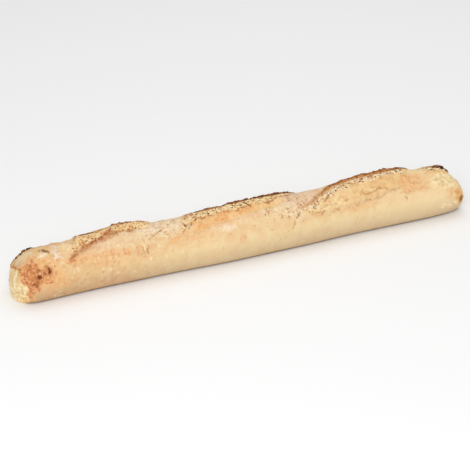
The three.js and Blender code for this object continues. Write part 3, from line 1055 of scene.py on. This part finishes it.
def maths(tree, operation, a, b):
    return add_node(tree, "ShaderNodeMath", {0: a, 1: b}, operation=operation).outputs["Value"]


def mask(tree, name):
    return add_node(tree, "ShaderNodeAttribute", attribute_name=name).outputs["Fac"]


print("Pale gold as a shader sees it:", [round(c, 3) for c in srgb(238, 206, 156)])

# %% Helpers for colours
def blend(tree, share, a, b, blend_type="MIX"):
    """Colour a where share is 0 and colour b where it is 1."""
    inputs = {"Factor": share, 6: a, 7: b}
    return add_node(tree, "ShaderNodeMix", inputs, data_type="RGBA", blend_type=blend_type).outputs[2]


def two_tone(tree, value, start, end, first, second):
    """The first colour where a noise is below start, and the second where it is above end."""
    return blend(tree, ramp(tree, value, start, end), first, second)


def lay(tree, colour, name, top, worn_by=None, start=0, end=1, least=0.0):
    """One colour laid on another where a mask shows it, and worn down to least where a noise is low."""
    share = mask(tree, name)
    if worn_by is not None:
        share = maths(tree, "MULTIPLY", share, ramp(tree, worn_by, start, end, least, 1))
    return blend(tree, share, colour, top)


def new_material(name):
    """A material, its node tree and its Principled BSDF."""
    material = bpy.data.materials.new(name)
    material.use_nodes = True
    return material, material.node_tree, material.node_tree.nodes["Principled BSDF"]


print("The crust has", len(masks), "masks to lay colours by")

# %% [markdown]
# The fine grain of baked dough is the same on the loaf and on its flakes, so it is a node group: built
# once, with a size to set, and placed in both materials. It puts out a slow mottle, a fine speckle and
# a height for the bump.

# %% Node group for the baked grain
SHINE = 0.15
BUMP_STRENGTH = 0.5

grain = bpy.data.node_groups.new("baked_grain", "ShaderNodeTree")
size_socket = grain.interface.new_socket("Size", in_out="INPUT", socket_type="NodeSocketFloat")
size_socket.default_value = 1.0
for name in ("Mottle", "Speckle", "Height"):
    grain.interface.new_socket(name, in_out="OUTPUT", socket_type="NodeSocketFloat")
group_size = add_node(grain, "NodeGroupInput").outputs["Size"]
where = add_node(grain, "ShaderNodeTexCoord").outputs["Object"]
scaling = add_node(grain, "ShaderNodeVectorMath", {0: where, "Scale": group_size}, operation="SCALE")
sized = scaling.outputs["Vector"]
finest = maths(grain, "MULTIPLY", noise_value(grain, sized, 0.0005, 2, 0.5), 0.5)
add_node(grain, "NodeGroupOutput", {
    "Mottle": noise_value(grain, sized, 0.011, 5, 0.6),
    "Speckle": noise_value(grain, sized, 0.0030, 4, 0.65),
    "Height": maths(grain, "ADD", noise_value(grain, sized, 0.0016, 4, 0.6), finest),
})


def baked_grain(tree, size):
    return add_node(tree, "ShaderNodeGroup", {"Size": size}, node_tree=grain).outputs


def bake(tree, shader, colour, roughness, height, depth):
    """Baked dough: a colour, a roughness and a fine relief, with hardly any shine."""
    bump = add_node(
        tree, "ShaderNodeBump", {"Height": height, "Strength": BUMP_STRENGTH, "Distance": depth}
    )
    tree.links.new(colour, shader.inputs["Base Color"])
    tree.links.new(roughness, shader.inputs["Roughness"])
    tree.links.new(bump.outputs["Normal"], shader.inputs["Normal"])
    shader.inputs["Specular IOR Level"].default_value = SHINE


print("baked_grain has", len(grain.nodes), "nodes")

# %% The crust's material
crust, tree, shader = new_material("crust")
where = add_node(tree, "ShaderNodeTexCoord").outputs["Object"]
from_middle = add_node(tree, "ShaderNodeSeparateXYZ", {0: where}).outputs["X"]
grain_out = baked_grain(tree, 1.0)
mottle, speckle = grain_out["Mottle"], grain_out["Speckle"]
print("Crust starts with", len(tree.nodes), "nodes")

# %% Skin, toasted at the left heel, lighter to the right, and greyer, darker and browner towards the base, partly as painted shade
GOLD, WARM_GOLD, TAN = srgb(243, 213, 164), srgb(236, 198, 146), srgb(214, 168, 115)
BLUSH, FLUSH = srgb(239, 191, 148), srgb(228, 174, 132)
BLISTER_CREAM, DOT_BROWN = srgb(255, 232, 190), srgb(176, 116, 72)
LEFT_TINT, RIGHT_LIGHT = srgb(243, 232, 220), srgb(255, 226, 176)
LOW_LIGHT, LOW_SHADE_TINT = srgb(250, 232, 180), srgb(232, 230, 238)
BASE_BROWN_AND_SHADOW = srgb(140, 106, 74)

skin_colour = two_tone(tree, mottle, 0.36, 0.68, GOLD, WARM_GOLD)
skin_colour = blend(tree, ramp(tree, speckle, 0.52, 0.75, 0, 0.3), skin_colour, TAN)
blush = noise_value(tree, where, 0.018, 4, 0.6)
skin_colour = blend(tree, ramp(tree, blush, 0.50, 0.70, 0, 0.6), skin_colour, BLUSH)
flush = ramp(tree, noise_value(tree, where, 0.0060, 4, 0.6), 0.54, 0.66, 0, 0.75)
flush = maths(tree, "MULTIPLY", flush, ramp(tree, from_middle, -0.07, -0.13))
skin_colour = blend(tree, flush, skin_colour, FLUSH)
blister_share = ramp(tree, mask(tree, "blister"), 0.05, 0.55, 0, 0.85)
skin_colour = blend(tree, blister_share, skin_colour, BLISTER_CREAM)
dots = noise_value(tree, where, 0.0042, 1, 0.5)
skin_colour = blend(tree, ramp(tree, dots, 0.72, 0.77, 0, 0.55), skin_colour, DOT_BROWN)
to_left = ramp(tree, from_middle, 0.02, -0.26, 0, 0.75)
skin_colour = blend(tree, to_left, skin_colour, LEFT_TINT, "MULTIPLY")
to_right = ramp(tree, from_middle, 0.06, 0.24, 0, 0.55)
skin_colour = blend(tree, to_right, skin_colour, RIGHT_LIGHT)
skin_colour = lay(tree, skin_colour, "low_side", LOW_LIGHT)
# Painted shade on the lower side.
skin_colour = blend(tree, mask(tree, "lower_side_shade"), skin_colour, LOW_SHADE_TINT, "MULTIPLY")
# Browned base edge with painted contact shadow.
skin_colour = lay(tree, skin_colour, "under", BASE_BROWN_AND_SHADOW)
print("Skin done,", len(tree.nodes), "nodes")

# %% Torn dough, lighter on the tops of its grains as painted highlight and darker in creases and pores as painted shade
CRUMB_BROWN_AND_SHADE, CRUMB_GOLD, CRUMB_CREAM_AND_HIGHLIGHT = srgb(158, 92, 46), srgb(230, 178, 112), srgb(255, 238, 186)
DUST_WHITE = srgb(255, 246, 226)
SOFT_GOLD, SOFT_TAN = srgb(247, 210, 154), srgb(232, 186, 126)

tone_noise = noise_value(tree, where, 0.0020, 4, 0.7)
tone = maths(tree, "ADD", mask(tree, "crumb_tone_and_shading"), ramp(tree, tone_noise, 0.3, 0.7, -0.40, 0.40))
crumb_colour = two_tone(tree, tone, 0.05, 0.38, CRUMB_BROWN_AND_SHADE, CRUMB_GOLD)
crumb_colour = two_tone(tree, tone, 0.38, 0.68, crumb_colour, CRUMB_CREAM_AND_HIGHLIGHT)
crumb_colour = lay(tree, crumb_colour, "dusty", DUST_WHITE, tone, 0.40, 0.75)
smooth_colour = two_tone(tree, mottle, 0.35, 0.65, SOFT_GOLD, SOFT_TAN)
colour = lay(tree, skin_colour, "smooth_band", smooth_colour)
colour = lay(tree, colour, "granular", crumb_colour)
print("Torn dough done,", len(tree.nodes), "nodes")

# %% Browned places
toasted = two_tone(tree, speckle, 0.42, 0.66, srgb(245, 188, 126), srgb(222, 156, 98))
colour = lay(tree, colour, "toast", toasted, mottle, 0.25, 0.5, 0.45)
scabbed = two_tone(tree, speckle, 0.36, 0.64, srgb(244, 184, 132), srgb(206, 126, 76))
colour = lay(tree, colour, "scab", scabbed)
knotted = two_tone(tree, speckle, 0.40, 0.62, srgb(224, 146, 96), srgb(148, 68, 32))
colour = lay(tree, colour, "knot", knotted)
print("Browned places done,", len(tree.nodes), "nodes")

# %% Floury, chalky and pale places
FLOUR_TAN, FLOUR_CREAM, FLOUR_WHITE = srgb(220, 180, 140), srgb(248, 224, 192), srgb(255, 245, 224)
PALE_TAN, PALE_CREAM, PALE_SHADE = srgb(236, 196, 136), srgb(255, 238, 192), srgb(228, 178, 114)

flecks = noise_value(tree, where, 0.0060, 5, 0.7, 1.2)
floury = two_tone(tree, flecks, 0.36, 0.46, FLOUR_TAN, FLOUR_CREAM)
floury = two_tone(tree, flecks, 0.53, 0.64, floury, FLOUR_WHITE)
flour_noise = noise_value(tree, where, 0.009, 5, 0.65)
colour = lay(tree, colour, "flour", floury, flour_noise, 0.34, 0.54, 0.55)
chalky = two_tone(tree, speckle, 0.40, 0.60, srgb(247, 230, 208), srgb(222, 196, 168))
colour = blend(tree, ramp(tree, mask(tree, "chalk"), 0, 1, 0, 0.72), colour, chalky)
pale_dough = two_tone(tree, speckle, 0.38, 0.56, PALE_TAN, PALE_CREAM)
pale_dough = blend(tree, ramp(tree, mottle, 0.48, 0.64, 0, 0.55), pale_dough, PALE_SHADE)
colour = lay(tree, colour, "pale", pale_dough)
print("Floury places done,", len(tree.nodes), "nodes")

# %% Lips, cracks and scorched edges, with painted shade in grooves, pits and the heel's notch
BURNT_BLACK, PIT_SHADE_BROWN = srgb(50, 24, 8), srgb(124, 68, 30)
ALL_TINT = srgb(246, 246, 246)  # takes a little light from the whole loaf

edge_noise = noise_value(tree, where, 0.0035, 5, 0.75)
# Brown lines along the lips, and painted shade in cracks, wrinkles and creases.
line_and_groove_shade_colour = two_tone(tree, edge_noise, 0.40, 0.60, srgb(206, 132, 66), srgb(144, 78, 34))
colour = lay(tree, colour, "brown_lines_and_groove_shade", line_and_groove_shade_colour, edge_noise, 0.34, 0.52, 0.6)
scorched = two_tone(tree, edge_noise, 0.38, 0.62, srgb(224, 160, 92), srgb(172, 100, 46))
colour = lay(tree, colour, "scorch", scorched, edge_noise, 0.30, 0.50, 0.45)
# Burnt crust, and painted shadow in the heel's notch.
dark = two_tone(tree, edge_noise, 0.42, 0.62, srgb(116, 64, 28), srgb(54, 26, 9))
colour = lay(tree, colour, "char_and_notch_shade", dark, edge_noise, 0.30, 0.48, 0.4)
colour = blend(tree, ramp(tree, mask(tree, "burnt"), 0.3, 1, 0, 0.9), colour, BURNT_BLACK)
# Painted shade in the pores and pits.
colour = lay(tree, colour, "pit_shade", PIT_SHADE_BROWN)
colour = blend(tree, 1.0, colour, ALL_TINT, "MULTIPLY")
bake(tree, shader, colour, ramp(tree, speckle, 0.3, 0.7, 0.62, 0.85), grain_out["Height"], 0.0004)
loaf_mesh.materials.append(crust)
print("crust has", len(tree.nodes), "nodes")

# %% The flakes' material
FLAKE_DARK, FLAKE_BROWN, FLAKE_CREAM = srgb(70, 36, 14), srgb(184, 120, 64), srgb(255, 240, 208)

flake_crust, tree, shader = new_material("flake_crust")
grain_out = baked_grain(tree, 3.5)
mottle, speckle = grain_out["Mottle"], grain_out["Speckle"]
tone = maths(tree, "ADD", mask(tree, "tone"), ramp(tree, mottle, 0.35, 0.65, -0.15, 0.15))
flake_colour = two_tone(tree, tone, 0.0, 0.5, FLAKE_DARK, FLAKE_BROWN)
flake_colour = two_tone(tree, tone, 0.5, 1.0, flake_colour, FLAKE_CREAM)
bake(tree, shader, flake_colour, ramp(tree, speckle, 0.3, 0.7, 0.6, 0.8), grain_out["Height"], 0.0002)
flake_mesh.materials.append(flake_crust)
print("flake_crust has", len(tree.nodes), "nodes")

# %% [markdown]
# ## Floor, light and camera
# The loaf lies on a plain pale floor under soft light from large panels, as a small thing is
# photographed for a shop. The long lens and the height of the camera are those of the photograph.

# %% Floor
FLOOR_SIZE = 6.0
FLOOR_WHITE = srgb(247, 247, 247)
FLOOR_ROUGHNESS = 0.9

sheet = bmesh.new()
bmesh.ops.create_grid(sheet, x_segments=1, y_segments=1, size=FLOOR_SIZE / 2)
floor = add_piece("floor", sheet)
floor_paint, tree, shader = new_material("floor_paint")
shader.inputs["Base Color"].default_value = FLOOR_WHITE
shader.inputs["Roughness"].default_value = FLOOR_ROUGHNESS
floor.data.materials.append(floor_paint)
print("Floor", FLOOR_SIZE, "m square")

# %% Light
PANELS = [  # name, place, width in metres, power in watts
    ("front_panel", (-0.9, -1.5, 1.25), 1.2, 22),
    ("top_panel", (0.4, 0.5, 1.8), 1.6, 9),
]
ROOM_LIGHT = 0.56

for name, at, size, power in PANELS:
    light = bpy.data.lights.new(name, "AREA")
    light.size = size
    light.energy = power
    panel = bpy.data.objects.new(name, light)
    panel.location = at
    panel.rotation_euler = (-Vector(at)).to_track_quat("-Z", "Y").to_euler()
    bpy.context.collection.objects.link(panel)
world = bpy.data.worlds.new("studio")
world.use_nodes = True
world.node_tree.nodes["Background"].inputs["Color"].default_value = (1, 1, 1, 1)
world.node_tree.nodes["Background"].inputs["Strength"].default_value = ROOM_LIGHT
bpy.context.scene.world = world
bpy.context.scene.view_settings.view_transform = "Standard"
print(len(PANELS), "panels and a white room")

# %% Camera
CAMERA_AZIMUTH = math.radians(-24.93)
CAMERA_HEIGHT = math.radians(27)
CAMERA_DISTANCE = 1.8
LENS = 125.0  # millimetres
SENSOR = 36
LOAF_MIDDLE = Vector((0, 0, 0.028))
AIM_LEFT = 0.0117  # the loaf sits right of the picture's middle
AIM_DOWN = 0.0104  # and above it

back = Vector((
    math.sin(CAMERA_AZIMUTH) * math.cos(CAMERA_HEIGHT),
    -math.cos(CAMERA_AZIMUTH) * math.cos(CAMERA_HEIGHT),
    math.sin(CAMERA_HEIGHT),
))
right = Vector((math.cos(CAMERA_AZIMUTH), math.sin(CAMERA_AZIMUTH), 0))
up = back.cross(right)
camera = bpy.data.objects.new("camera", bpy.data.cameras.new("camera"))
camera.data.lens = LENS
camera.data.sensor_width = SENSOR
camera.location = LOAF_MIDDLE + back * CAMERA_DISTANCE
aim = LOAF_MIDDLE - right * AIM_LEFT - up * AIM_DOWN
camera.rotation_euler = (aim - camera.location).to_track_quat("-Z", "Y").to_euler()
bpy.context.collection.objects.link(camera)
bpy.context.scene.camera = camera
print("Camera at", [round(c, 3) for c in camera.location])
